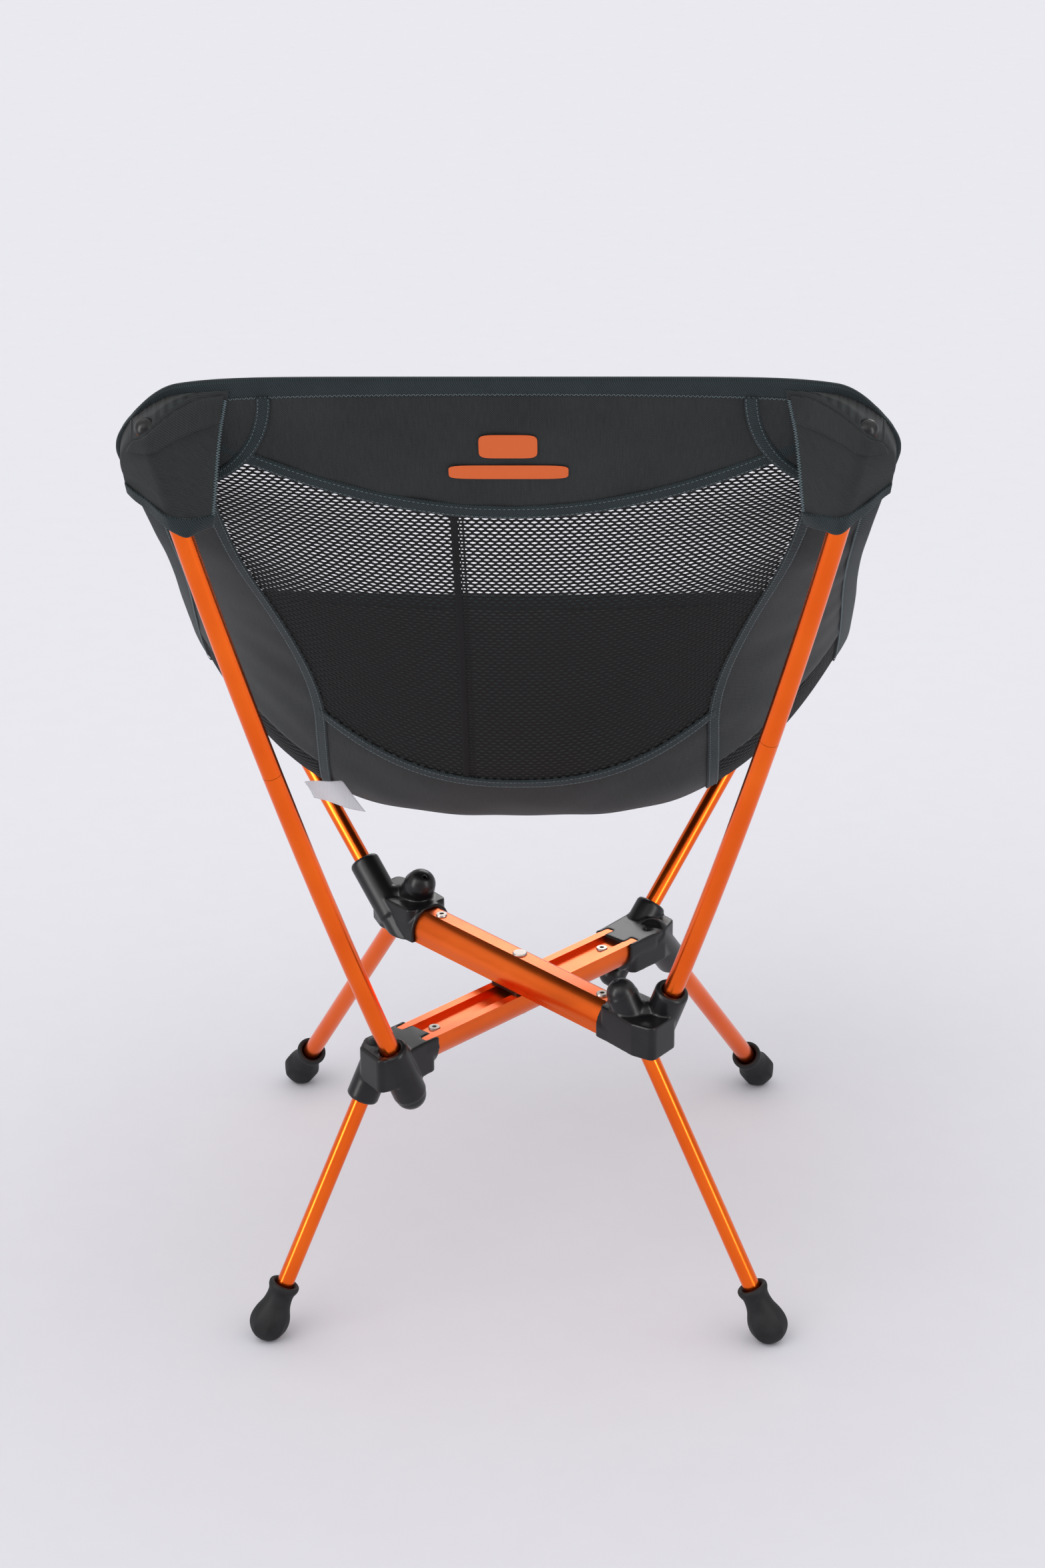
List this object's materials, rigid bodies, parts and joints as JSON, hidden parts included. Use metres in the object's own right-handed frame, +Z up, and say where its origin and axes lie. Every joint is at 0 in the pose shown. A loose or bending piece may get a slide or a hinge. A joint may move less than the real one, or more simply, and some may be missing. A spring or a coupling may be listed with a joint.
{
  "type": "backpacking chair",
  "caption": "Ultralight folding camp chair: a low cross frame of anodised tubes in moulded hubs carries a deep fabric and mesh sling on four poles.",
  "frame": {"origin": "on the ground, under the centre of the chair's box", "axes": "+Z up; the sitter faces +Y; +X is on the right seen from behind the chair"},
  "size_m": [0.5136, 0.5615, 0.7891],
  "materials": {
    "crossbar_anodised": "satin orange anodised extrusion",
    "tube_anodised": "bright orange anodised tube",
    "rivet_metal": "bright rolled rivet",
    "ferrule_metal": "plain satin",
    "hub_plastic": "satin moulded, lightly textured",
    "foot_rubber": "matte moulded rubber",
    "shock_cord": "braided elastic",
    "sling_fabric": "coated oxford weave",
    "sling_mesh": "open knitted mesh",
    "binding_tape": "ribbed woven tape",
    "label_film": "thin satin label cloth"
  },
  "bodies": {
    "upper_frame": {"upper_crossbar": "crossbar_anodised", "end_rivets_upper": "rivet_metal", "pivot_rivet": "rivet_metal", "pivot_spacer": "hub_plastic", "hub_rear_right": "hub_plastic", "hub_front_left": "hub_plastic"},
    "lower_frame": {"lower_crossbar": "crossbar_anodised", "end_rivets_lower": "rivet_metal", "hub_rear_left": "hub_plastic", "hub_front_right": "hub_plastic"},
    "leg_rear_left": {"leg_tube_rear_left": "tube_anodised", "foot_rear_left": "foot_rubber", "shock_cord_rear_left": "shock_cord"},
    "leg_rear_right": {"leg_tube_rear_right": "tube_anodised", "foot_rear_right": "foot_rubber", "shock_cord_rear_right": "shock_cord"},
    "leg_front_left": {"leg_tube_front_left": "tube_anodised", "foot_front_left": "foot_rubber", "shock_cord_front_left": "shock_cord"},
    "leg_front_right": {"leg_tube_front_right": "tube_anodised", "foot_front_right": "foot_rubber", "shock_cord_front_right": "shock_cord"},
    "back_pole_left": {"back_pole_lower_left": "tube_anodised", "back_pole_ferrule_left": "ferrule_metal"},
    "back_top_left": {"back_pole_upper_left": "tube_anodised", "back_pole_cap_left": "hub_plastic"},
    "seat_pole_left": {"seat_pole_left": "tube_anodised", "seat_pole_cap_left": "hub_plastic"},
    "back_pole_right": {"back_pole_lower_right": "tube_anodised", "back_pole_ferrule_right": "ferrule_metal"},
    "back_top_right": {"back_pole_upper_right": "tube_anodised", "back_pole_cap_right": "hub_plastic"},
    "seat_pole_right": {"seat_pole_right": "tube_anodised", "seat_pole_cap_right": "hub_plastic"},
    "sling": {"sling_top_band": "sling_fabric", "sling_seat_base": "sling_fabric", "sling_seat_front": "sling_fabric", "sling_wing_left": "sling_fabric", "sling_wing_right": "sling_fabric", "corner_patch_left": "sling_fabric", "corner_patch_right": "sling_fabric", "pole_pocket_back_left": "sling_fabric", "pole_pocket_back_right": "sling_fabric", "pole_pocket_front_left": "sling_fabric", "pole_pocket_front_right": "sling_fabric", "sling_back_mesh": "sling_mesh", "sling_side_mesh_left": "sling_mesh", "sling_side_mesh_right": "sling_mesh", "binding_top": "binding_tape", "binding_front": "binding_tape", "seam_tape_seat": "binding_tape", "binding_side_left": "binding_tape", "binding_side_right": "binding_tape", "seam_tape_left": "binding_tape", "seam_tape_right": "binding_tape", "care_label": "label_film"}
  },
  "joints": [
    {"name": "hub_swivel", "type": "hinge", "parent": "upper_frame", "child": "lower_frame", "pos_m": [0.0005, -0.0187, 0.24], "axis": [0, 0, 1], "range_deg": [0, 55]},
    {"name": "leg_pull_rear_left", "type": "slide", "parent": "lower_frame", "child": "leg_rear_left", "axis": [-0.3755, -0.1294, -0.9177], "range_m": [0, 0.04]},
    {"name": "leg_pull_rear_right", "type": "slide", "parent": "upper_frame", "child": "leg_rear_right", "axis": [0.3884, -0.1028, -0.9157], "range_m": [0, 0.04]},
    {"name": "leg_pull_front_left", "type": "slide", "parent": "upper_frame", "child": "leg_front_left", "axis": [-0.3417, 0.549, -0.7628], "range_m": [0, 0.04]},
    {"name": "leg_pull_front_right", "type": "slide", "parent": "lower_frame", "child": "leg_front_right", "axis": [0.3226, 0.6057, -0.7274], "range_m": [0, 0.04]},
    {"name": "back_pole_pull_left", "type": "slide", "parent": "lower_frame", "child": "back_pole_left", "axis": [-0.2985, -0.2376, 0.9244], "range_m": [0, 0.04]},
    {"name": "back_top_pull_left", "type": "slide", "parent": "back_pole_left", "child": "back_top_left", "axis": [-0.2513, -0.2409, 0.9374], "range_m": [0, 0.028]},
    {"name": "seat_pole_pull_left", "type": "slide", "parent": "upper_frame", "child": "seat_pole_left", "axis": [-0.4884, 0.5634, 0.6663], "range_m": [0, 0.03]},
    {"name": "back_pole_pull_right", "type": "slide", "parent": "upper_frame", "child": "back_pole_right", "axis": [0.2797, -0.285, 0.9168], "range_m": [0, 0.04]},
    {"name": "back_top_pull_right", "type": "slide", "parent": "back_pole_right", "child": "back_top_right", "axis": [0.2283, -0.289, 0.9297], "range_m": [0, 0.028]},
    {"name": "seat_pole_pull_right", "type": "slide", "parent": "lower_frame", "child": "seat_pole_right", "axis": [0.4849, 0.4852, 0.7276], "range_m": [0, 0.03]},
    {"name": "sling_lift", "type": "slide", "parent": "upper_frame", "child": "sling", "axis": [0, 0, 1], "range_m": [0, 0.4], "deforming": ["sling_top_band", "sling_seat_base", "sling_seat_front", "sling_wing_left", "sling_wing_right", "corner_patch_left", "corner_patch_right", "pole_pocket_back_left", "pole_pocket_back_right", "pole_pocket_front_left", "pole_pocket_front_right", "sling_back_mesh", "sling_side_mesh_left", "sling_side_mesh_right", "binding_top", "binding_front", "seam_tape_seat", "binding_side_left", "binding_side_right", "seam_tape_left", "seam_tape_right", "care_label"]}
  ],
  "couplings": [
    {"joint": "hub_swivel", "follows": "sling_lift", "rad_per_m": 2.39},
    {"joint": "back_pole_pull_left", "follows": "sling_lift", "ratio": 0.1},
    {"joint": "back_top_pull_left", "follows": "sling_lift", "ratio": 0.07},
    {"joint": "seat_pole_pull_left", "follows": "sling_lift", "ratio": 0.075},
    {"joint": "back_pole_pull_right", "follows": "sling_lift", "ratio": 0.1},
    {"joint": "back_top_pull_right", "follows": "sling_lift", "ratio": 0.07},
    {"joint": "seat_pole_pull_right", "follows": "sling_lift", "ratio": 0.075}
  ]
}
